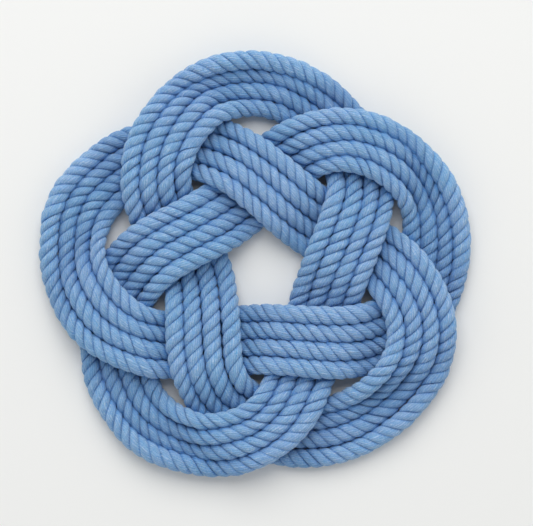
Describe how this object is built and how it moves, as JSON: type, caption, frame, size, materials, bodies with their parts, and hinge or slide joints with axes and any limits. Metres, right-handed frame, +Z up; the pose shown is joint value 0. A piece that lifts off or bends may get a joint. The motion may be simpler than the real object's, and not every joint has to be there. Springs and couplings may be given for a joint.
{
  "type": "decorative rope knot",
  "caption": "Flat five-lobed rope knot mat, woven over and under from laid blue cotton rope, with an open five-sided centre.",
  "frame": {"origin": "middle of the mat's outline, at the height of the surface that it lies on", "axes": "+Z up through the mat, +X to the right and +Y to the top of the mat as it is seen from above"},
  "size_m": [0.1486, 0.1476, 0.0115],
  "materials": {
    "blue_rope": "matt laid cotton rope",
    "start_whipping_twine": "matt waxed twine, turned",
    "end_whipping_twine": "matt waxed twine, turned",
    "start_lacing_twine": "matt waxed twine, sewn",
    "end_lacing_twine": "matt waxed twine, sewn"
  },
  "bodies": {
    "root": {"rope": "blue_rope", "start_whipping": "start_whipping_twine", "end_whipping": "end_whipping_twine", "start_lacing": "start_lacing_twine", "end_lacing": "end_lacing_twine"}
  },
  "joints": []
}
